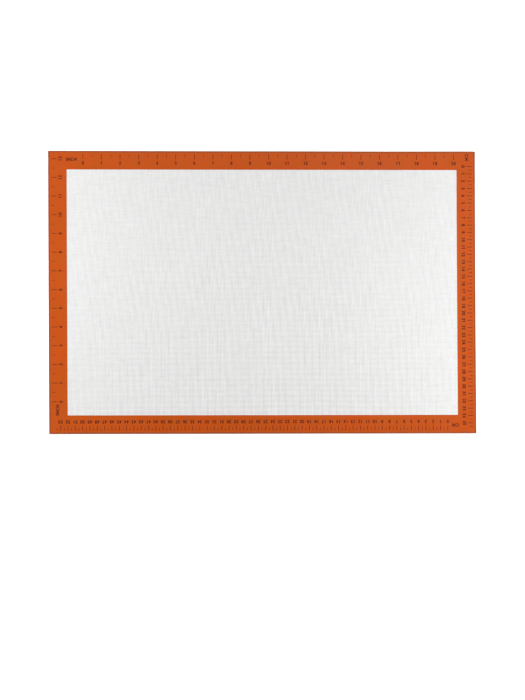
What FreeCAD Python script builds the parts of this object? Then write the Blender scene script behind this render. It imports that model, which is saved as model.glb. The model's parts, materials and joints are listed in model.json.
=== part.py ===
# A silicone baking mat: woven glass cloth between two coats of silicone, with a printed measuring border.
# Millimetres. The mat lies flat with its underside at Z = 0 and the origin in the middle of that underside.
# X runs along its length. The back is the long side at +Y, and the front is the long side at -Y.

import FreeCAD, Part

import math
import os
from collections import namedtuple

from FreeCAD import Vector

# The mat's outside
MAT_LENGTH = 585.0
MAT_WIDTH = 385.0

# How thick each layer is, from the underside up
BOTTOM_COAT_THICKNESS = 0.18
CLOTH_THICKNESS = 0.30
TOP_COAT_THICKNESS = 0.18
BORDER_PRINT_THICKNESS = 0.04
INK_THICKNESS = 0.03

# The bead of silicone that closes each cut edge. It stands a little proud of the border, and its outer
# face is rounded above and below an upright strip.
SEAL_WIDTH = 2.2
SEAL_PROUD = 0.08
SEAL_UPRIGHT = 0.18

# The border, measured inwards from the seal: whole marks, numbers, then a bare margin beside the window
MARK_MARGIN = 2.3
MARK_LENGTH = 6.9
HALF_MARK_LENGTH = 4.1
MARK_PEN = 0.72
HALF_MARK_PEN = 0.54
NUMBER_GAP = 2.8
NUMBER_HEIGHT = 4.6
WINDOW_MARGIN = 6.6

# The unit words. The inset is from the seal to a word's top.
WORD_HEIGHT = 4.8
WORD_INSET = 7.0

# The lettering's pen, and the space between two characters, as shares of its height
PEN_SHARE = 0.21
NUMBER_SPACING_SHARE = 0.10
WORD_SPACING_SHARE = 0.19

# The units that the scales are printed in
INCH = 25.4
CENTIMETRE = 10.0

# Each scale starts with its unit word. The margin is from the end of the side to the word, the gap is from
# the word to the zero mark, and the last mark stays clear of the far end of the side by the end margin.
BACK_WORD_MARGIN = 24.5
BACK_WORD_GAP = 8.5
BACK_END_MARGIN = 20.0
LEFT_WORD_MARGIN = 25.3
LEFT_WORD_GAP = 4.1
LEFT_END_MARGIN = 9.0
FRONT_WORD_MARGIN = 24.5
FRONT_WORD_GAP = 6.3
FRONT_END_MARGIN = 9.0
RIGHT_WORD_MARGIN = 3.9
RIGHT_WORD_GAP = 8.0
RIGHT_END_MARGIN = 9.0

# Heights that follow from the layers
CLOTH_BOTTOM = BOTTOM_COAT_THICKNESS
TOP_COAT_BOTTOM = CLOTH_BOTTOM + CLOTH_THICKNESS
BORDER_BOTTOM = TOP_COAT_BOTTOM + TOP_COAT_THICKNESS
INK_BOTTOM = BORDER_BOTTOM + BORDER_PRINT_THICKNESS
SEAL_HEIGHT = INK_BOTTOM + SEAL_PROUD
SEAL_ROUNDING = (SEAL_HEIGHT - SEAL_UPRIGHT) / 2

# Sizes that follow from the outside and the border
CLOTH_LENGTH = MAT_LENGTH - 2 * SEAL_WIDTH
CLOTH_WIDTH = MAT_WIDTH - 2 * SEAL_WIDTH
NUMBER_INSET = MARK_MARGIN + MARK_LENGTH + NUMBER_GAP
BORDER_PRINT_WIDTH = NUMBER_INSET + NUMBER_HEIGHT + WINDOW_MARGIN

UP = Vector(0, 0, 1)
ORIGIN = Vector(0, 0, 0)
SAME_POINT = 1e-6

# A side is built as if it were the back, then turned about Z to its place. The reach is from the middle of
# the mat to the side's outer edge.
Side = namedtuple("Side", "name turn length reach")
Scale = namedtuple("Scale", "side unit word pitch word_margin word_gap end_margin")

BACK = Side("back", 0, MAT_LENGTH, MAT_WIDTH / 2)
LEFT = Side("left", 90, MAT_WIDTH, MAT_LENGTH / 2)
FRONT = Side("front", 180, MAT_LENGTH, MAT_WIDTH / 2)
RIGHT = Side("right", 270, MAT_WIDTH, MAT_LENGTH / 2)
SIDES = (BACK, LEFT, FRONT, RIGHT)

SCALES = (
    Scale(BACK, "inch", "INCH", INCH, BACK_WORD_MARGIN, BACK_WORD_GAP, BACK_END_MARGIN),
    Scale(LEFT, "inch", "INCH", INCH, LEFT_WORD_MARGIN, LEFT_WORD_GAP, LEFT_END_MARGIN),
    Scale(FRONT, "cm", "CM", CENTIMETRE, FRONT_WORD_MARGIN, FRONT_WORD_GAP, FRONT_END_MARGIN),
    Scale(RIGHT, "cm", "CM", CENTIMETRE, RIGHT_WORD_MARGIN, RIGHT_WORD_GAP, RIGHT_END_MARGIN),
)

# Plain numerals and letters, each a set of pen strokes on a grid that is four units high. A stroke is a run
# of points and arcs that straight lines join. An arc turns from its start angle to its end angle, in degrees.
Arc = namedtuple("Arc", "x y radius start end")
Glyph = namedtuple("Glyph", "width strokes")

GRID_HEIGHT = 4
DIAGONAL_MEETS_BOWL = -math.degrees(math.atan(3 / 4))
LOWER_BOWL = [Arc(1, 1, 1, -180, 0), Arc(1, 1, 1, 0, 180)]
UPPER_BOWL = [Arc(1, 3, 1, -180, 0), Arc(1, 3, 1, 0, 180)]

GLYPHS = {
    "0": Glyph(2, [[Arc(1, 3, 1, 0, 180), Arc(1, 1, 1, 180, 360), (2, 3)]]),
    "1": Glyph(2, [[(0.3, 3.2), (1.1, 4), (1.1, 0)]]),
    "2": Glyph(2, [[Arc(1, 3, 1, 165, DIAGONAL_MEETS_BOWL), (0, 0), (2, 0)]]),
    "3": Glyph(2, [[Arc(1, 3, 1, 150, -90)], [Arc(1, 1, 1, 90, -150)]]),
    "4": Glyph(2.2, [[(1.6, 0), (1.6, 4), (0, 1), (2.2, 1)]]),
    "5": Glyph(2, [[(1.8, 4), (0.4, 4), Arc(0.75, 1.25, 1.25, 116, -125)]]),
    "6": Glyph(2, [[Arc(1, 3, 1, 35, 180), (0, 1)], LOWER_BOWL]),
    "7": Glyph(2, [[(0, 4), (2, 4), (0.6, 0)]]),
    "8": Glyph(2, [LOWER_BOWL, UPPER_BOWL]),
    "9": Glyph(2, [[Arc(1, 1, 1, 215, 360), (2, 3)], UPPER_BOWL]),
    "C": Glyph(2.6, [[Arc(1.3, 2.7, 1.3, 35, 180), Arc(1.3, 1.3, 1.3, 180, 325)]]),
    "H": Glyph(2.8, [[(0, 0), (0, 4)], [(2.8, 0), (2.8, 4)], [(0, 2), (2.8, 2)]]),
    "I": Glyph(0, [[(0, 0), (0, 4)]]),
    "M": Glyph(3.4, [[(0, 0), (0, 4), (1.7, 1), (3.4, 4), (3.4, 0)]]),
    "N": Glyph(2.8, [[(0, 0), (0, 4), (2.8, 0), (2.8, 4)]]),
}


class Lettering:
    """One size of lettering: its height, and the pen and the spacing that follow from it."""

    def __init__(self, height, spacing_share):
        self.pen = height * PEN_SHARE
        self.unit = (height - self.pen) / GRID_HEIGHT
        self.spacing = height * spacing_share
        self.made = {}

    def place(self, x, y):
        """A grid point in millimetres. The pen's own width is left free around the grid."""
        return Vector(x * self.unit + self.pen / 2, y * self.unit + self.pen / 2, 0)

    def ends(self, piece):
        """The first and last point of a piece of a stroke, which are the same for a point."""
        if not isinstance(piece, Arc):
            return [self.place(*piece)] * 2
        angles = [math.radians(angle) for angle in (piece.start, piece.end)]
        return [
            self.place(piece.x + piece.radius * math.cos(a), piece.y + piece.radius * math.sin(a))
            for a in angles
        ]

    def dot(self, point):
        """The round end of the pen."""
        return Part.makeCylinder(self.pen / 2, INK_THICKNESS, point, UP)

    def bar(self, start, end):
        """A straight run of the pen."""
        side = UP.cross(end - start).normalize() * (self.pen / 2)
        outline = Part.makePolygon([start - side, end - side, end + side, start + side, start - side])
        return Part.Face(outline).extrude(UP * INK_THICKNESS)

    def bend(self, arc):
        """A run of the pen along an arc."""
        centre = self.place(arc.x, arc.y)
        radius = arc.radius * self.unit
        low, high = sorted((arc.start, arc.end))
        outside, inside = (
            Part.makeCylinder(radius + offset, INK_THICKNESS, centre, UP, high - low)
            for offset in (self.pen / 2, -self.pen / 2)
        )
        run = outside.cut(inside)
        run.rotate(centre, UP, low)
        return run

    def stroke(self, pieces):
        """The solids that the pen leaves along one stroke, still to be fused."""
        solids = []
        last = None
        for piece in pieces:
            start, end = self.ends(piece)
            if last is not None and start.distanceToPoint(last) > SAME_POINT:
                solids.append(self.bar(last, start))
            if isinstance(piece, Arc):
                solids.append(self.bend(piece))
            solids += [self.dot(start), self.dot(end)]
            last = end
        return solids

    def character(self, name):
        """One character as one solid, with its lower left corner at the origin."""
        if name not in self.made:
            solids = [solid for pieces in GLYPHS[name].strokes for solid in self.stroke(pieces)]
            fused = solids[0].multiFuse(solids[1:]).removeSplitter()
            self.made[name] = fused.Solids[0]
        return self.made[name]

    def character_width(self, name):
        return GLYPHS[name].width * self.unit + self.pen

    def length(self, text):
        widths = sum(self.character_width(name) for name in text)
        return widths + self.spacing * (len(text) - 1)

    def write(self, text, left, foot):
        """The text's solids on the border, from its left end and its foot."""
        solids = []
        for name in text:
            solids.append(self.character(name).translated(Vector(left, foot, INK_BOTTOM)))
            left += self.character_width(name) + self.spacing
        return solids


NUMBERS = Lettering(NUMBER_HEIGHT, NUMBER_SPACING_SHARE)
WORDS = Lettering(WORD_HEIGHT, WORD_SPACING_SHARE)


def sheet(length, width, bottom, thickness):
    """A flat rectangular layer, centred on the origin."""
    corner = Vector(-length / 2, -width / 2, bottom)
    return Part.makeBox(length, width, thickness, corner)


def border_print():
    """The coloured frame on the top coat, from the seal to the window."""
    whole = sheet(CLOTH_LENGTH, CLOTH_WIDTH, BORDER_BOTTOM, BORDER_PRINT_THICKNESS)
    window_length = CLOTH_LENGTH - 2 * BORDER_PRINT_WIDTH
    window_width = CLOTH_WIDTH - 2 * BORDER_PRINT_WIDTH
    window = sheet(window_length, window_width, BORDER_BOTTOM, BORDER_PRINT_THICKNESS)
    return whole.cut(window)


def edge_seal(side):
    """One side's bead, rounded along its outer edges and mitred at both corners."""
    rise = SEAL_ROUNDING * math.sin(math.radians(45))
    outer = side.reach
    inner = outer - SEAL_WIDTH
    low = Vector(-side.length / 2, outer - SEAL_ROUNDING, SEAL_ROUNDING)
    high = Vector(-side.length / 2, outer - SEAL_ROUNDING, SEAL_HEIGHT - SEAL_ROUNDING)
    low_arc = Part.Arc(
        low + Vector(0, 0, -SEAL_ROUNDING),
        low + Vector(0, rise, -rise),
        low + Vector(0, SEAL_ROUNDING, 0),
    )
    high_arc = Part.Arc(
        high + Vector(0, SEAL_ROUNDING, 0),
        high + Vector(0, rise, rise),
        high + Vector(0, 0, SEAL_ROUNDING),
    )
    foot = Vector(low.x, inner, 0)
    top = Vector(low.x, inner, SEAL_HEIGHT)
    section = Part.Wire([
        Part.LineSegment(foot, low_arc.StartPoint).toShape(),
        low_arc.toShape(),
        Part.LineSegment(low_arc.EndPoint, high_arc.StartPoint).toShape(),
        high_arc.toShape(),
        Part.LineSegment(high_arc.EndPoint, top).toShape(),
        Part.LineSegment(top, foot).toShape(),
    ])
    bead = Part.Face(section).extrude(Vector(side.length, 0, 0))
    end = side.length / 2
    mitre = Part.makePolygon([
        Vector(-end, outer, 0),
        Vector(end, outer, 0),
        Vector(end - SEAL_WIDTH, inner, 0),
        Vector(SEAL_WIDTH - end, inner, 0),
        Vector(-end, outer, 0),
    ])
    return bead.common(Part.Face(mitre).extrude(UP * SEAL_HEIGHT))


def zero_mark(scale):
    """Where the scale's zero is along its side."""
    word_end = -scale.side.length / 2 + scale.word_margin + WORDS.length(scale.word)
    return word_end + scale.word_gap


def half_steps(scale):
    """How many half units fit between the zero mark and the end margin."""
    room = scale.side.length / 2 - scale.end_margin - zero_mark(scale)
    return math.floor(2 * room / scale.pitch)


def seal_line(scale):
    """The line along the seal's inner edge, where the border begins."""
    return scale.side.reach - SEAL_WIDTH


def marks(scale, first_step, length, pen):
    """Every second mark of a scale, starting at the given half step. All marks begin at one line."""
    outer = seal_line(scale) - MARK_MARGIN
    solids = []
    for step in range(first_step, half_steps(scale) + 1, 2):
        along = zero_mark(scale) + step * scale.pitch / 2
        corner = Vector(along - pen / 2, outer - length, INK_BOTTOM)
        solids.append(Part.makeBox(pen, length, INK_THICKNESS, corner))
    return solids


def numbers(scale):
    """The number under each whole mark, centred on it."""
    foot = seal_line(scale) - NUMBER_INSET - NUMBER_HEIGHT
    solids = []
    for count in range(half_steps(scale) // 2 + 1):
        text = str(count)
        left = zero_mark(scale) + count * scale.pitch - NUMBERS.length(text) / 2
        solids += NUMBERS.write(text, left, foot)
    return solids


def unit_word(scale):
    """The word that names the scale's unit, before its zero mark."""
    left = -scale.side.length / 2 + scale.word_margin
    foot = seal_line(scale) - WORD_INSET - WORD_HEIGHT
    return WORDS.write(scale.word, left, foot)


def turned(solids, side):
    """Solids that were built at the back, turned to their own side."""
    return [solid.rotated(ORIGIN, UP, side.turn) for solid in solids]


def layers():
    """The layers that reach from edge to edge, and the border on top of them."""
    return {
        "bottom_silicone_coat": [sheet(CLOTH_LENGTH, CLOTH_WIDTH, 0, BOTTOM_COAT_THICKNESS)],
        "glass_cloth": [sheet(CLOTH_LENGTH, CLOTH_WIDTH, CLOTH_BOTTOM, CLOTH_THICKNESS)],
        "top_silicone_coat": [sheet(CLOTH_LENGTH, CLOTH_WIDTH, TOP_COAT_BOTTOM, TOP_COAT_THICKNESS)],
        "border_print": [border_print()],
    }


def edge_seals():
    return {f"edge_seal_{side.name}": turned([edge_seal(side)], side) for side in SIDES}


def printed_scale(scale):
    """The four groups of ink that make up one scale."""
    groups = {
        "marks": marks(scale, 0, MARK_LENGTH, MARK_PEN),
        "half_marks": marks(scale, 1, HALF_MARK_LENGTH, HALF_MARK_PEN),
        "numbers": numbers(scale),
        "word": unit_word(scale),
    }
    return {
        f"{scale.unit}_{group}_{scale.side.name}": turned(solids, scale.side)
        for group, solids in groups.items()
    }


def main():
    nodes = {**layers(), **edge_seals()}
    for scale in SCALES:
        nodes.update(printed_scale(scale))
    os.makedirs("parts", exist_ok=True)
    for name, solids in nodes.items():
        Part.makeCompound(solids).exportStep(f"parts/{name}.step")
        print(f"{name}: {len(solids)} solids")


main()
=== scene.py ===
"""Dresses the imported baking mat: woven cloth under silicone, an orange border, printed scales and seals.

Everything is in metres and in the part's own frame: the underside of the mat is at Z = 0, X runs along its
length, and the back is the long side at +Y.
"""

import json
import math
from functools import cached_property

import bmesh
import bpy
import numpy as np
from bpy.props import FloatProperty, FloatVectorProperty, IntProperty, PointerProperty
from bpy.types import Operator, Panel, PropertyGroup
from mathutils import Euler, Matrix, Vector


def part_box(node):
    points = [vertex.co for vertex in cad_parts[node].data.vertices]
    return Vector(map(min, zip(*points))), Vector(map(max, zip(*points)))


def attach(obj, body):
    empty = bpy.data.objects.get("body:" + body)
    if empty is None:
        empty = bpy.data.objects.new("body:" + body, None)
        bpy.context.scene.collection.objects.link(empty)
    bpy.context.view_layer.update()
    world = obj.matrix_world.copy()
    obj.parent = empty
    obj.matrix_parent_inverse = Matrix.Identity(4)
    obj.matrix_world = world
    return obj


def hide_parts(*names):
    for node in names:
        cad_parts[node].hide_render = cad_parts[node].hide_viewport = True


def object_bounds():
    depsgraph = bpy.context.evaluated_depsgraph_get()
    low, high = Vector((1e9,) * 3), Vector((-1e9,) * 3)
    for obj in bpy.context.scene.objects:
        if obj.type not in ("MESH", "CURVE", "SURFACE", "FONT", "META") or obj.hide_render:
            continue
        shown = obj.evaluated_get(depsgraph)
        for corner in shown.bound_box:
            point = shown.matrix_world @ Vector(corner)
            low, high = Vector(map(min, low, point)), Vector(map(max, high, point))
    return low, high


bl_info = {
    "name": "Baking Mat",
    "version": (1, 0, 0),
    "blender": (4, 5, 0),
    "location": "3D View > Sidebar > Baking Mat",
    "description": "Builds a silicone baking mat with a printed measuring border around a packed model",
    "category": "Object",
}

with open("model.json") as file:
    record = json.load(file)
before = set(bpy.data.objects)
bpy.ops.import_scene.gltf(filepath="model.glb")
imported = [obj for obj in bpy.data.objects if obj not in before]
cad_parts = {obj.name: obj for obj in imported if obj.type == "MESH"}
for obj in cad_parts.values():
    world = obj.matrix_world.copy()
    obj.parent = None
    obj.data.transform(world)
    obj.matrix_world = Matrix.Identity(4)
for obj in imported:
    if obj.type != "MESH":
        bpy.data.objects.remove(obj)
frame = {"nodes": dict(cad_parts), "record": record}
CAD_LOW, CAD_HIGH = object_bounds()
CLOTH_LOW, CLOTH_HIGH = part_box("glass_cloth")
BORDER_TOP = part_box("border_print")[1].z
SEAL_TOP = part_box("edge_seal_back")[1].z

BODY = "root"
SIDES = ("back", "left", "front", "right")
FULL_TURN = 2 * math.pi
QUARTER_TURN = FULL_TURN / 4
MERGE_DISTANCE = 0.000001

# Bands of a sheet's picture map, from its lower to its upper edge: a strip for each of its walls, the hidden
# face and the shown face. A narrow edge of the map stays free.
MAP_NAME = "OFBake"
MAP_EDGE = 0.003
WALL_STRIP = 0.0055
WALL_HEIGHT = 0.0045
HIDDEN_BAND = (0.05, 0.12)
SHOWN_BAND = (0.13, 0.997)

# Sockets of a Mix node that mixes colours: its share, its two colours and their mix
MIX_SHARE = 0
MIX_FIRST = 6
MIX_SECOND = 7
MIX_RESULT = 2

# How strongly silicone bends light, and how deep the relief of each surface is
SILICONE_IOR = 1.41
SILICONE_RELIEF = 0.00004
INK_RELIEF = 0.00003
SEAL_RELIEF = 0.00002
YARN_RELIEF = 0.00012

# What a thick and a thin layer of the border's ink do to its red, green and blue
THICK_INK = (1.06, 0.90, 0.80)
THIN_INK = (0.94, 1.10, 1.20)


class MatSizes(PropertyGroup):
    """Sizes of the dressed mat, and how finely its pieces are divided."""

    border_width: FloatProperty(
        name="Border width",
        description="From the mat's outer edge to the pale window",
        default=0.0254,
        unit="LENGTH",
    )
    grid_step: FloatProperty(
        name="Grid step",
        description="Longest edge of the faces that a sheet is divided into",
        default=0.005,
        unit="LENGTH",
    )
    bead_nose: FloatProperty(
        name="Bead nose",
        description="Radius of the sealing bead's lower outer edge",
        default=0.0003,
        unit="LENGTH",
    )
    bead_shoulder: FloatProperty(
        name="Bead shoulder",
        description="Radius of the sealing bead's upper outer edge",
        default=0.00045,
        unit="LENGTH",
    )
    bead_points: IntProperty(
        name="Bead points",
        description="Points along each of the three curves of the sealing bead's section",
        default=7,
    )


class MatLay(PropertyGroup):
    """How the flexible mat lies on a flat surface."""

    curl_reach: FloatProperty(
        name="Curl reach",
        description="How far in from a corner, along both sides together, the corner lifts",
        default=0.15,
        unit="LENGTH",
    )
    back_left_lift: FloatProperty(
        name="Back left lift",
        description="Height of the back left corner's tip",
        default=0.0022,
        unit="LENGTH",
    )
    back_right_lift: FloatProperty(
        name="Back right lift",
        description="Height of the back right corner's tip",
        default=0.0026,
        unit="LENGTH",
    )
    front_left_lift: FloatProperty(
        name="Front left lift",
        description="Height of the front left corner's tip",
        default=0.0009,
        unit="LENGTH",
    )
    front_right_lift: FloatProperty(
        name="Front right lift",
        description="Height of the front right corner's tip",
        default=0.0012,
        unit="LENGTH",
    )
    wave_height: FloatProperty(
        name="Wave height",
        description="Height of the slow waves that rolling leaves in the mat",
        default=0.0005,
        unit="LENGTH",
    )
    wave_length: FloatProperty(
        name="Wave length",
        description="Distance from one wave to the next along the mat",
        default=0.24,
        unit="LENGTH",
    )
    wave_slant: FloatProperty(
        name="Wave slant",
        description="How far the waves shift along the mat for each metre across it",
        default=0.35,
    )


class MatWeave(PropertyGroup):
    """The plain weave of the glass cloth, which shows through the silicone."""

    warp_pitch: FloatProperty(
        name="Warp pitch",
        description="Distance between the threads that run across the mat",
        default=0.001234,
        unit="LENGTH",
    )
    weft_pitch: FloatProperty(
        name="Weft pitch",
        description="Distance between the threads that run along the mat",
        default=0.00123,
        unit="LENGTH",
    )
    # The spacing, in threads, of the grid of lighter and darker lines
    warp_group: IntProperty(
        name="Warp group",
        description="Threads from one slightly denser place to the next, along the mat",
        default=8,
    )
    weft_group: IntProperty(
        name="Weft group",
        description="Threads from one slightly denser place to the next, across the mat",
        default=6,
    )
    wander: FloatProperty(
        name="Wander",
        description="How far a thread strays from its straight line over a short distance",
        default=0.0003,
        unit="LENGTH",
    )
    bow: FloatProperty(
        name="Bow",
        description="How far the threads bow over the whole mat",
        default=0.003,
        unit="LENGTH",
    )


class MatColours(PropertyGroup):
    """Colours of the mat's materials."""

    silicone: FloatVectorProperty(
        name="Silicone",
        description="The pale silicone of the window",
        subtype="COLOR",
        default=(0.80, 0.80, 0.795),
    )
    border: FloatVectorProperty(
        name="Border",
        description="The orange ink of the border",
        subtype="COLOR",
        default=(0.53, 0.077, 0.002),
    )
    seal: FloatVectorProperty(
        name="Seal",
        description="The silicone bead along the cut edges",
        subtype="COLOR",
        default=(0.33, 0.072, 0.018),
    )
    ink: FloatVectorProperty(
        name="Scale ink",
        description="The dark ink of the marks, numbers and words",
        subtype="COLOR",
        default=(0.07, 0.008, 0.0015),
    )
    yarn: FloatVectorProperty(
        name="Glass yarn",
        description="The glass fibre yarn of the cloth",
        subtype="COLOR",
        default=(0.86, 0.86, 0.84),
    )


class MatSettings(PropertyGroup):
    """All settings of the baking mat."""

    sizes: PointerProperty(type=MatSizes)
    lay: PointerProperty(type=MatLay)
    weave: PointerProperty(type=MatWeave)
    colours: PointerProperty(type=MatColours)


class Wire:
    """The output of a node. Arithmetic on it adds Math nodes to its material."""

    def __init__(self, finish, socket):
        self.finish = finish
        self.socket = socket

    def math(self, operation, *values):
        """A Math node on the given values, in their order."""
        sockets = dict(enumerate(values))
        return self.finish.node("ShaderNodeMath", {"operation": operation}, sockets)

    def __add__(self, other):
        return self.math("ADD", self, other)

    __radd__ = __add__

    def __sub__(self, other):
        return self.math("SUBTRACT", self, other)

    def __rsub__(self, other):
        return self.math("SUBTRACT", other, self)

    def __mul__(self, other):
        return self.math("MULTIPLY", self, other)

    __rmul__ = __mul__

    def __truediv__(self, other):
        return self.math("DIVIDE", self, other)

    def __abs__(self):
        return self.math("ABSOLUTE", self)

    def floor(self):
        return self.math("FLOOR", self)

    def fraction(self):
        return self.math("FRACT", self)

    def above(self, limit):
        """One where the value is above the limit, and zero elsewhere."""
        return self.math("GREATER_THAN", self, limit)

    def larger(self, other):
        return self.math("MAXIMUM", self, other)

    def odd(self):
        """One where a whole number is odd, and zero where it is even."""
        return (self / 2).fraction().above(0.25)

    def wave(self):
        """A wave from minus one to one that repeats each time the value grows by one."""
        return self.math("SINE", self * FULL_TURN)

    def blend(self, other, share):
        """This value where the share is zero, and the other where it is one."""
        return self + share * (other - self)


class Finish:
    """A material or world that is put together from nodes."""

    def __init__(self, owner):
        self.owner = owner
        owner.use_nodes = True
        self.tree = owner.node_tree
        self.tree.nodes.clear()

    def node(self, kind, settings=None, sockets=None, output=0):
        """A new node of that kind, with its settings, then the values or links of its sockets."""
        node = self.tree.nodes.new(kind)
        for key, value in (settings or {}).items():
            setattr(node, key, value)
        for key, value in (sockets or {}).items():
            if isinstance(value, Wire):
                self.tree.links.new(value.socket, node.inputs[key])
            else:
                node.inputs[key].default_value = value
        return Wire(self, node.outputs[output]) if node.outputs else None

    def place(self):
        """Points of the surface, in metres."""
        return self.node("ShaderNodeTexCoord", output="Object")

    def tinted(self, colour, amount):
        """A colour times a number that changes over the surface."""
        settings = {"data_type": "RGBA", "blend_type": "MULTIPLY"}
        sockets = {MIX_SHARE: 1.0, MIX_FIRST: colour, MIX_SECOND: amount}
        return self.node("ShaderNodeMix", settings, sockets, MIX_RESULT)

    def mixed(self, share, colour, other):
        """The first colour where the share is zero, and the other where it is one."""
        sockets = {MIX_SHARE: share, MIX_FIRST: colour, MIX_SECOND: other}
        return self.node("ShaderNodeMix", {"data_type": "RGBA"}, sockets, MIX_RESULT)

    def noise(self, vector, scale, detail=2.0):
        """Smooth noise from zero to one."""
        return self.node("ShaderNodeTexNoise", None, {"Vector": vector, "Scale": scale, "Detail": detail})

    def offset(self, vector, scale, detail=2.0):
        """Smooth noise around zero."""
        return self.noise(vector, scale, detail) - 0.5

    def ramp(self, value, low, high):
        """A smooth step from zero at the low value to one at the high one."""
        settings = {"interpolation_type": "SMOOTHSTEP"}
        sockets = {"Value": value, "From Min": low, "From Max": high}
        return self.node("ShaderNodeMapRange", settings, sockets)

    def vector(self, x, y):
        return self.node("ShaderNodeCombineXYZ", None, {"X": x, "Y": y})

    def bump(self, height, distance):
        """A Normal that follows a height of zero to one, which stands for that distance."""
        sockets = {"Height": height, "Distance": distance, "Strength": 1.0}
        return self.node("ShaderNodeBump", None, sockets)

    def surface(self, sockets):
        """Ends a material with a principled shader."""
        shader = self.node("ShaderNodeBsdfPrincipled", None, sockets)
        self.node("ShaderNodeOutputMaterial", None, {"Surface": shader})
        return self.owner


def new_finish(name):
    return Finish(bpy.data.materials.new(name))


def opaque(colour):
    """A colour with the alpha that a colour socket holds."""
    return (*colour, 1.0)


def toned(patterns, plain, **shares):
    """A plain value, with a share of each of the named patterns added to it."""
    return sum((patterns[name] * share for name, share in shares.items()), plain)


class Weave:
    """The plain weave as patterns over a surface. A pattern's nodes are added when it is first asked for."""

    # How fast each noise changes, in steps for each metre
    WANDER_SCALE = 22.0
    BOW_SCALE = 4.5
    DRIFT_SCALE = 12.0
    PATCH_SCALE = 14.0
    SLUB_SCALE = 60.0

    # How far apart two threads are in the noise that tones them
    THREAD_STRIDE = 7.31

    # How far a thread's crest falls towards its crossings
    CREST_FALL = 0.5

    # How far the grid's lines drift, in turns, and how they lean, in turns for each metre, behind
    # and in front of a bend
    DRIFT_TURNS = 0.3
    LEAN_BEND = -0.055
    BACK_LEAN = 15.3
    FRONT_LEAN = 5.7

    # Waves that break up the grid's lines along the warp: how many to a metre, and how strong
    BREAKS = ((143.0, 0.52), (286.0, 0.75), (300.0, 1.3))

    # How the grid's lines fade towards the back, for each metre, and towards both ends of the mat, for each
    # metre squared
    WARP_FADE = 1.8
    WEFT_FADE = 5.5
    SIDE_FADE = 8.0

    # How strong the weft's patterns are beside the warp's
    WEFT_TONE = 0.9
    WEFT_SWELL = 0.62

    def __init__(self, finish, weave):
        self.finish = finish
        self.weave = weave
        self.place = finish.place()
        self.x = finish.node("ShaderNodeSeparateXYZ", None, {"Vector": self.place}, "X")
        self.y = finish.node("ShaderNodeSeparateXYZ", None, {"Vector": self.place}, "Y")
        stray = finish.offset(self.place, self.WANDER_SCALE) * (2 * weave.wander)
        bow = finish.offset(self.place, self.BOW_SCALE, detail=0.0) * (2 * weave.bow)
        self.across = (self.x + stray + bow) / weave.warp_pitch
        self.along = (self.y + stray - bow) / weave.weft_pitch
        self.warp = self.across.floor()
        self.weft = self.along.floor()

    @staticmethod
    def from_middle(threads):
        """Zero along the middle of each thread, rising to one at its two sides."""
        side = (threads.fraction() - 0.5) * 2
        return side * side

    @cached_property
    def relief(self):
        """One on the crests of the threads, falling to zero in the pits between them."""
        warp_side = self.from_middle(self.across)
        weft_side = self.from_middle(self.along)
        warp_hump = (1.0 - warp_side) * (1.0 - weft_side * self.CREST_FALL)
        weft_hump = (1.0 - weft_side) * (1.0 - warp_side * self.CREST_FALL)
        warp_over = (self.warp + self.weft).odd()
        return weft_hump.blend(warp_hump, warp_over)

    @cached_property
    def threads(self):
        """How much lighter or darker each thread is than the others."""
        finish = self.finish
        warp_spot = finish.vector(self.warp * self.THREAD_STRIDE, self.y * self.SLUB_SCALE)
        weft_spot = finish.vector(self.x * self.SLUB_SCALE, self.weft * self.THREAD_STRIDE)
        return finish.offset(warp_spot, scale=1.0) + finish.offset(weft_spot, scale=1.0) * self.WEFT_TONE

    @cached_property
    def density(self):
        """How much lighter or darker the cloth looks than on average, in a grid of slightly leaning lines."""
        finish, weave = self.finish, self.weave
        drift = finish.offset(self.place, self.DRIFT_SCALE) * self.DRIFT_TURNS
        from_bend = self.y - self.LEAN_BEND
        lean = (from_bend * self.BACK_LEAN).larger(from_bend * self.FRONT_LEAN)
        warp_swell = (self.across / weave.warp_group + drift + lean).wave()
        weft_swell = (self.along / weave.weft_group - drift).wave()
        broken = sum(((self.x * rate).wave() * share for rate, share in self.BREAKS), 1.0)
        warp_patch = finish.noise(self.place, self.PATCH_SCALE, detail=1.0)
        weft_patch = finish.noise(finish.vector(self.y, self.x), self.PATCH_SCALE, detail=1.0)
        warp_part = warp_swell * broken * warp_patch * (1.0 - self.y * self.WARP_FADE)
        weft_part = weft_swell * weft_patch * (1.0 - self.y * self.WEFT_FADE)
        return (warp_part + weft_part * self.WEFT_SWELL) * (1.0 - self.x * self.x * self.SIDE_FADE)


def window_edges(sizes):
    """How far the pale window reaches from the middle of the mat, along X and along Y."""
    return CAD_HIGH.x - sizes.border_width, CAD_HIGH.y - sizes.border_width


def window_silicone(settings):
    """Translucent silicone with the white cloth just under its surface."""
    finish = new_finish("window_silicone")
    weave = Weave(finish, settings.weave)
    patterns = {
        "relief": weave.relief,
        "threads": weave.threads,
        "density": weave.density,
        "cloud": finish.noise(weave.place, scale=9.0, detail=3.0),
    }
    tone = toned(patterns, plain=0.844, relief=0.14, threads=0.18, density=0.0385, cloud=0.03)
    return finish.surface({
        "Base Color": finish.tinted(opaque(settings.colours.silicone), tone),
        "Roughness": toned(patterns, plain=0.66, relief=-0.10),
        "IOR": SILICONE_IOR,
        "Normal": finish.bump(weave.relief, SILICONE_RELIEF),
    })


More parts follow.
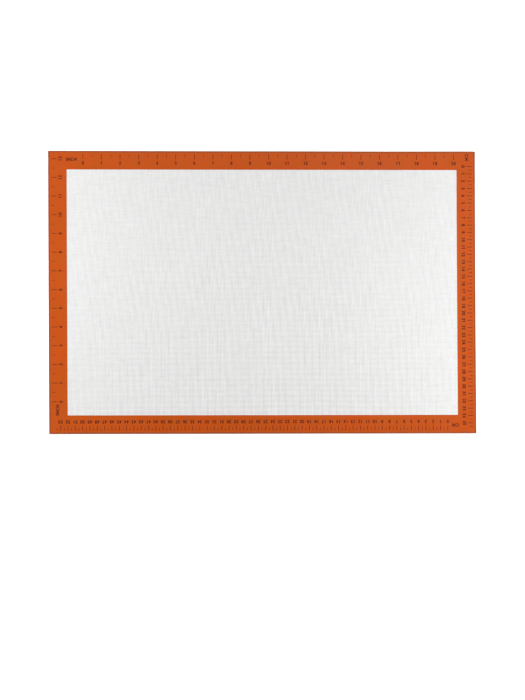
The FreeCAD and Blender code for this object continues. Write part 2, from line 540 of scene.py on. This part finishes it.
def underside_silicone(settings):
    """The same silicone under the mat, with the border's colour showing through faintly."""
    finish = new_finish("underside_silicone")
    weave = Weave(finish, settings.weave)
    patterns = {"relief": weave.relief}
    show_through = 0.55
    pale = finish.tinted(opaque(settings.colours.silicone), toned(patterns, plain=0.84, relief=0.14))
    warm = finish.mixed(show_through, pale, opaque(settings.colours.border))
    edge_x, edge_y = window_edges(settings.sizes)
    under_border = abs(weave.x).above(edge_x).larger(abs(weave.y).above(edge_y))
    return finish.surface({
        "Base Color": finish.mixed(under_border, pale, warm),
        "Roughness": toned(patterns, plain=0.52, relief=-0.10),
        "IOR": SILICONE_IOR,
        "Normal": finish.bump(weave.relief, SILICONE_RELIEF),
    })


def glass_yarn(settings):
    """Bare glass cloth, with dark pits where the threads cross."""
    finish = new_finish("glass_yarn")
    weave = Weave(finish, settings.weave)
    patterns = {"relief": weave.relief, "threads": weave.threads}
    tone = toned(patterns, plain=0.67, relief=0.32, threads=0.16)
    return finish.surface({
        "Base Color": finish.tinted(opaque(settings.colours.yarn), tone),
        "Roughness": toned(patterns, plain=0.6, relief=-0.15),
        "Normal": finish.bump(weave.relief, YARN_RELIEF),
    })


def border_ink(settings):
    """Satin orange ink, lighter on the crests of the weave and slightly cloudy."""
    finish = new_finish("border_ink")
    weave = Weave(finish, settings.weave)
    patterns = {
        "relief": weave.relief,
        "cloud": finish.noise(weave.place, scale=14.0, detail=4.0),
        "grain": finish.noise(weave.place, scale=900.0, detail=1.0),
    }
    thinness = finish.noise(weave.place, scale=38.0)
    thick, thin = (
        opaque(part * change for part, change in zip(settings.colours.border, changes))
        for changes in (THICK_INK, THIN_INK)
    )
    tone = toned(patterns, plain=0.86, cloud=0.16, relief=0.05, grain=0.05)
    return finish.surface({
        "Base Color": finish.tinted(finish.mixed(thinness, thick, thin), tone),
        "Roughness": toned(patterns, plain=0.24, cloud=0.12, grain=0.06),
        "IOR": 1.43,
        "Normal": finish.bump(weave.relief, INK_RELIEF),
    })


def seal_silicone(settings):
    """The brown orange bead, uneven as a brush leaves it."""
    finish = new_finish("seal_silicone")
    place = finish.place()
    patterns = {
        "streak": finish.noise(place, scale=60.0, detail=4.0),
        "speck": finish.noise(place, scale=1400.0, detail=1.0),
    }
    tone = toned(patterns, plain=0.78, streak=0.34, speck=0.10)
    return finish.surface({
        "Base Color": finish.tinted(opaque(settings.colours.seal), tone),
        "Roughness": toned(patterns, plain=0.34, streak=0.14),
        "IOR": SILICONE_IOR,
        "Normal": finish.bump(patterns["speck"], SEAL_RELIEF),
    })


def scale_ink(settings):
    """Dark ink that is a little uneven where it lies over the weave."""
    finish = new_finish("scale_ink")
    weave = Weave(finish, settings.weave)
    patterns = {"speck": finish.noise(weave.place, scale=1800.0)}
    tone = toned(patterns, plain=0.8, speck=0.6)
    return finish.surface({
        "Base Color": finish.tinted(opaque(settings.colours.ink), tone),
        "Roughness": toned(patterns, plain=0.46, speck=0.12),
        "IOR": 1.36,
        "Normal": finish.bump(weave.relief, INK_RELIEF),
    })


def lay_height(lay, x, y):
    """How high the mat's underside lies at points of the mat: lifted corners and slow waves."""
    lifts = {
        (-1, 1): lay.back_left_lift,
        (1, 1): lay.back_right_lift,
        (-1, -1): lay.front_left_lift,
        (1, -1): lay.front_right_lift,
    }
    turns = (x + lay.wave_slant * y) / lay.wave_length
    height = lay.wave_height * (1 - np.cos(FULL_TURN * turns)) / 2
    for (right, back), lift in lifts.items():
        from_corner = (CAD_HIGH.x - right * x) + (CAD_HIGH.y - back * y)
        height = height + lift * np.clip(1 - from_corner / lay.curl_reach, 0, None) ** 2
    return height


def lines_between(low, high, step):
    """Evenly spaced lines from low to high, no further apart than the step."""
    return np.linspace(low, high, math.ceil((high - low) / step) + 1)


def shares_of(lines):
    """Where each line lies between the edges of a picture map."""
    span = (lines - lines[0]) / (lines[-1] - lines[0])
    return MAP_EDGE + (1 - 2 * MAP_EDGE) * span


class Slab:
    """A closed sheet on a grid of lines. The face that shows takes most of its picture map."""

    def __init__(self, x_lines, y_lines, bottom, top, window, shows_below):
        self.x_lines = x_lines
        self.y_lines = y_lines
        self.x_shares = shares_of(x_lines)
        self.y_shares = shares_of(y_lines)
        self.numbers = {}
        self.points = []
        self.faces = []
        self.spots = []
        bands = (HIDDEN_BAND, SHOWN_BAND) if shows_below else (SHOWN_BAND, HIDDEN_BAND)
        kept = self.cells_outside(window)
        for i, j in sorted(kept):
            ring = ((i, j), (i + 1, j), (i + 1, j + 1), (i, j + 1))
            beyond = ((i, j - 1), (i + 1, j), (i, j + 1), (i - 1, j))
            self.add_level(ring, top, bands[0])
            self.add_level(ring[::-1], bottom, bands[1])
            for side, neighbour in enumerate(beyond):
                if neighbour not in kept:
                    self.add_wall(side, ring[side], ring[(side + 1) % len(ring)], bottom, top)

    def cells_outside(self, window):
        """The grid's cells whose middle isn't in the window."""
        middles_x = (self.x_lines[:-1] + self.x_lines[1:]) / 2
        middles_y = (self.y_lines[:-1] + self.y_lines[1:]) / 2
        return {
            (i, j)
            for i, x in enumerate(middles_x)
            for j, y in enumerate(middles_y)
            if not (window and window(x, y))
        }

    def vertex(self, i, j, height):
        key = (i, j, height)
        if key not in self.numbers:
            self.numbers[key] = len(self.points)
            self.points.append((self.x_lines[i], self.y_lines[j], height))
        return self.numbers[key]

    def add_level(self, ring, height, band):
        """A face of the upper or lower side."""
        low, high = band
        self.faces.append([self.vertex(i, j, height) for i, j in ring])
        self.spots += [(self.x_shares[i], low + self.y_shares[j] * (high - low)) for i, j in ring]

    def add_wall(self, side, start, end, bottom, top):
        """A face of the wall that looks to one side. Walls of the window have strips of their own."""
        edges = ((1, 0), (0, len(self.x_lines) - 1), (1, len(self.y_lines) - 1), (0, 0))
        axis, line = edges[side]
        strip = side if start[axis] == line else side + len(edges)
        low = strip * WALL_STRIP + MAP_EDGE
        high = low + WALL_HEIGHT
        shares = self.y_shares if axis == 0 else self.x_shares
        first, last = shares[start[1 - axis]], shares[end[1 - axis]]
        corners = ((start, bottom), (end, bottom), (end, top), (start, top))
        self.faces.append([self.vertex(*crossing, height) for crossing, height in corners])
        self.spots += [(first, low), (last, low), (last, high), (first, high)]

    def mesh(self, name):
        mesh = bpy.data.meshes.new(name)
        mesh.from_pydata(self.points, [], self.faces)
        layer = mesh.uv_layers.new(name=MAP_NAME)
        layer.uv.foreach_set("vector", np.array(self.spots).ravel())
        return mesh


def laid(mesh, lay):
    """Moves a flat mesh's points up to where the mat lies."""
    points = np.empty(len(mesh.vertices) * 3)
    mesh.vertices.foreach_get("co", points)
    points = points.reshape(-1, 3)
    points[:, 2] += lay_height(lay, points[:, 0], points[:, 1])
    mesh.vertices.foreach_set("co", points.ravel())
    mesh.update()
    return mesh


def add_piece(name, mesh, material, node):
    """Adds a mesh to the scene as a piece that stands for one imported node."""
    mesh.materials.clear()
    mesh.materials.append(material)
    piece = bpy.data.objects.new(name, mesh)
    bpy.context.scene.collection.objects.link(piece)
    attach(piece, BODY)
    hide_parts(node)
    return piece


def sheet_mesh(name, settings, node, window=None, extra_x=(), extra_y=(), shows_below=False):
    """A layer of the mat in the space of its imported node, laid as the mat lies."""
    low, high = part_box(node)
    x_lines = np.union1d(lines_between(low.x, high.x, settings.sizes.grid_step), extra_x)
    y_lines = np.union1d(lines_between(low.y, high.y, settings.sizes.grid_step), extra_y)
    slab = Slab(x_lines, y_lines, low.z, high.z, window, shows_below)
    return laid(slab.mesh(name), settings.lay)


class BAKINGMAT_OT_coats(Operator):
    """Coats the cloth with silicone on both faces"""

    bl_idname = "baking_mat.coats"
    bl_label = "Silicone coats"

    def execute(self, context):
        settings = context.scene.baking_mat
        top = sheet_mesh("top_coat", settings, "top_silicone_coat")
        bottom = sheet_mesh("bottom_coat", settings, "bottom_silicone_coat", shows_below=True)
        add_piece("top_coat", top, window_silicone(settings), "top_silicone_coat")
        add_piece("bottom_coat", bottom, underside_silicone(settings), "bottom_silicone_coat")
        return {"FINISHED"}


class BAKINGMAT_OT_border(Operator):
    """Prints the orange border on the top coat"""

    bl_idname = "baking_mat.border"
    bl_label = "Border"

    def execute(self, context):
        settings = context.scene.baking_mat
        edge_x, edge_y = window_edges(settings.sizes)

        def in_window(x, y):
            return abs(x) < edge_x and abs(y) < edge_y

        mesh = sheet_mesh(
            "border", settings, "border_print", in_window, (-edge_x, edge_x), (-edge_y, edge_y)
        )
        add_piece("border", mesh, border_ink(settings), "border_print")
        return {"FINISHED"}


def eased(share):
    """A share from zero to one that starts and ends slowly."""
    return share * share * (3 - 2 * share)


def bead_profile(sizes):
    """The bead's section: how far in from the outer edge and how high, from its foot round to its top."""
    width = CAD_HIGH.x - CLOTH_HIGH.x
    nose = sizes.bead_nose
    shoulder = sizes.bead_shoulder
    steps = np.linspace(0, 1, sizes.bead_points)
    points = [(width, 0.0)]
    for turn in steps * QUARTER_TURN:
        points.append((nose - nose * math.sin(turn), nose - nose * math.cos(turn)))
    for turn in steps * QUARTER_TURN:
        points.append((shoulder - shoulder * math.cos(turn), SEAL_TOP - shoulder + shoulder * math.sin(turn)))
    for share in steps[1:]:
        inset = shoulder + share * (width - shoulder)
        points.append((inset, SEAL_TOP + eased(share) * (BORDER_TOP - SEAL_TOP)))
    return points


def bead_mesh(name, settings, turn, length, reach):
    """One side's sealing bead, mitred at both ends."""
    profile = bead_profile(settings.sizes)
    shares = lines_between(-1.0, 1.0, 2 * settings.sizes.grid_step / length)
    points = []
    for share in shares:
        for inset, height in profile:
            along = share * (length / 2 - inset)
            across = reach - inset
            x = along * math.cos(turn) - across * math.sin(turn)
            y = along * math.sin(turn) + across * math.cos(turn)
            points.append((x, y, height))
    count = len(profile)
    last = len(shares) - 1
    faces = []
    for ring in range(last):
        for k in range(count):
            a = ring * count + k
            b = ring * count + (k + 1) % count
            faces.append((a, b, b + count, a + count))
    faces.append(tuple(reversed(range(count))))
    faces.append(tuple(last * count + k for k in range(count)))
    mesh = bpy.data.meshes.new(name)
    mesh.from_pydata(points, [], faces)
    mesh.polygons.foreach_set("use_smooth", [True] * len(faces))
    return laid(mesh, settings.lay)


class BAKINGMAT_OT_seals(Operator):
    """Seals the four cut edges with a bead of silicone"""

    bl_idname = "baking_mat.seals"
    bl_label = "Edge seals"

    def execute(self, context):
        settings = context.scene.baking_mat
        material = seal_silicone(settings)
        for number, side in enumerate(SIDES):
            length, reach = 2 * CAD_HIGH.x, CAD_HIGH.y
            if side in ("left", "right"):
                length, reach = 2 * CAD_HIGH.y, CAD_HIGH.x
            name = f"bead_{side}"
            mesh = bead_mesh(name, settings, number * QUARTER_TURN, length, reach)
            add_piece(name, mesh, material, f"edge_seal_{side}")
        return {"FINISHED"}


class BAKINGMAT_OT_cloth(Operator):
    """Weaves the glass cloth inside the mat"""

    bl_idname = "baking_mat.cloth"
    bl_label = "Glass cloth"

    def execute(self, context):
        settings = context.scene.baking_mat
        mesh = sheet_mesh("woven_cloth", settings, "glass_cloth")
        cloth = add_piece("woven_cloth", mesh, glass_yarn(settings), "glass_cloth")
        return {"FINISHED"}


def ink_mesh(node, lay):
    """One packed print as closed patches of ink, laid as the mat lies."""
    mesh = frame["nodes"][node].data.copy()
    patches = bmesh.new()
    patches.from_mesh(mesh)
    bmesh.ops.remove_doubles(patches, verts=patches.verts, dist=MERGE_DISTANCE)
    patches.to_mesh(mesh)
    patches.free()
    return laid(mesh, lay)


class BAKINGMAT_OT_scales(Operator):
    """Prints the marks, numbers and unit words on the border"""

    bl_idname = "baking_mat.scales"
    bl_label = "Printed scales"

    def execute(self, context):
        settings = context.scene.baking_mat
        material = scale_ink(settings)
        for row in frame["record"]["subparts"]:
            if row["material_slot"] != "scale_ink":
                continue
            node = row["node"]
            add_piece(f"printed_{node}", ink_mesh(node, settings.lay), material, node)
        return {"FINISHED"}


def white_floor():
    """A pale floor that shows as white and still takes the mat's shadow."""
    reach = 30.0
    depth = 0.0001
    paint = (0.9, 0.9, 0.9)
    glow = 0.59
    seen_by = ("Is Camera Ray", "Is Glossy Ray", "Is Transmission Ray")
    corners = [(x * reach, y * reach, -depth) for x, y in ((-1, -1), (1, -1), (1, 1), (-1, 1))]
    mesh = bpy.data.meshes.new("floor")
    mesh.from_pydata(corners, [], [range(len(corners))])
    finish = new_finish("white_floor")
    camera, gloss, transmission = (finish.node("ShaderNodeLightPath", output=ray) for ray in seen_by)
    seen = camera.larger(gloss).larger(transmission)
    painted = finish.node("ShaderNodeBsdfDiffuse", None, {"Color": opaque(paint)})
    glowing = finish.node("ShaderNodeEmission", None, {"Strength": seen * glow})
    both = finish.node("ShaderNodeAddShader", None, {0: painted, 1: glowing})
    finish.node("ShaderNodeOutputMaterial", None, {"Surface": both})
    mesh.materials.append(finish.owner)
    floor = bpy.data.objects.new("floor", mesh)
    bpy.context.scene.collection.objects.link(floor)


def studio_world():
    """A ring of soft light around the mat, dimmer low down and overhead. The camera sees plain white."""
    low_light = 0.24
    ring_light = 0.33
    overhead_light = 0.07
    white = (1.0, 1.0, 1.0)
    world = bpy.data.worlds.new("studio")
    bpy.context.scene.world = world
    finish = Finish(world)
    direction = finish.node("ShaderNodeTexCoord", output="Generated")
    height = finish.node("ShaderNodeSeparateXYZ", None, {"Vector": direction}, "Z")
    camera = finish.node("ShaderNodeLightPath", output="Is Camera Ray")
    around = finish.ramp(height, low=0.35, high=0.60) * ring_light + low_light
    light = around * (1.0 - finish.ramp(height, low=0.85, high=0.97)) + overhead_light
    sockets = {"Color": opaque(white), "Strength": light.blend(1.0, camera)}
    background = finish.node("ShaderNodeBackground", None, sockets)
    finish.node("ShaderNodeOutputWorld", None, {"Surface": background})


def lamp(name, place, aim, size, power, reflected):
    """A soft square lamp that points at a place. Glossy surfaces show it only if it is to be reflected."""
    light = bpy.data.lights.new(name, "AREA")
    light.size = size
    light.energy = power
    holder = bpy.data.objects.new(name, light)
    holder.location = place
    holder.rotation_euler = (Vector(aim) - Vector(place)).to_track_quat("-Z", "Y").to_euler()
    holder.visible_camera = False
    holder.visible_glossy = reflected
    bpy.context.scene.collection.objects.link(holder)


def studio_lamps():
    """A lamp at each end of the mat, and two small ones high behind it that give the ink its sheen."""
    ends = {"size": 0.6, "reflected": False}
    high = {"size": 0.3, "power": 1.9, "reflected": True}
    lamp("lamp_left", place=(-0.75, 0.08, 0.40), aim=(-0.05, 0.0, 0.0), power=4.0, **ends)
    lamp("lamp_right", place=(0.75, -0.08, 0.40), aim=(0.05, 0.0, 0.0), power=4.6, **ends)
    lamp("lamp_back_left", place=(-0.60, 0.62, 1.55), aim=(-0.2, 0.15, 0.0), **high)
    lamp("lamp_back_right", place=(0.64, 0.52, 1.55), aim=(0.2, 0.15, 0.0), **high)


def camera_above():
    """The photograph's view: from far above, a few degrees off the upright, with the mat high in it."""
    photo_width, photo_height = 525, 700
    mat_middle_x, mat_middle_y = 262.54, 292.44
    pixels_per_metre = 734.8
    distance = 12.0
    sensor = 36.0
    tilt = Euler((math.radians(2.34), math.radians(-6.62), math.radians(-0.31)))
    data = bpy.data.cameras.new("camera")
    data.sensor_fit = "VERTICAL"
    data.sensor_height = sensor
    data.lens = sensor * distance * pixels_per_metre / photo_height
    camera = bpy.data.objects.new("camera", data)
    camera.rotation_euler = tilt
    camera.location = tilt.to_matrix() @ Vector((
        (photo_width / 2 - mat_middle_x) / pixels_per_metre,
        (mat_middle_y - photo_height / 2) / pixels_per_metre,
        distance,
    ))
    bpy.context.scene.collection.objects.link(camera)
    bpy.context.scene.camera = camera


class BAKINGMAT_OT_stage(Operator):
    """Sets the floor, the lamps and the camera"""

    bl_idname = "baking_mat.stage"
    bl_label = "Stage"

    def execute(self, context):
        context.scene.view_settings.view_transform = "Standard"
        white_floor()
        studio_world()
        studio_lamps()
        camera_above()
        return {"FINISHED"}


BUILDERS = (
    BAKINGMAT_OT_stage,
    BAKINGMAT_OT_coats,
    BAKINGMAT_OT_seals,
    BAKINGMAT_OT_cloth,
    BAKINGMAT_OT_border,
    BAKINGMAT_OT_scales,
)


class BAKINGMAT_PT_panel(Panel):
    """Lists the mat's pieces and settings in the sidebar"""

    bl_idname = "BAKINGMAT_PT_panel"
    bl_label = "Baking Mat"
    bl_space_type = "VIEW_3D"
    bl_region_type = "UI"
    bl_category = "Baking Mat"

    def draw(self, context):
        for builder in BUILDERS:
            self.layout.operator(builder.bl_idname)
        for group in ("sizes", "lay", "weave", "colours"):
            settings = getattr(context.scene.baking_mat, group)
            box = self.layout.box()
            for name in settings.__annotations__:
                box.prop(settings, name)


CLASSES = (MatSizes, MatLay, MatWeave, MatColours, MatSettings, *BUILDERS, BAKINGMAT_PT_panel)


def register():
    for cls in CLASSES:
        bpy.utils.register_class(cls)
    bpy.types.Scene.baking_mat = PointerProperty(type=MatSettings)


def unregister():
    del bpy.types.Scene.baking_mat
    for cls in reversed(CLASSES):
        bpy.utils.unregister_class(cls)


def main():
    register()
    bpy.ops.baking_mat.stage()
    bpy.ops.baking_mat.coats()
    bpy.ops.baking_mat.seals()
    bpy.ops.baking_mat.cloth()
    bpy.ops.baking_mat.border()
    bpy.ops.baking_mat.scales()


if __name__ == "__main__":
    main()
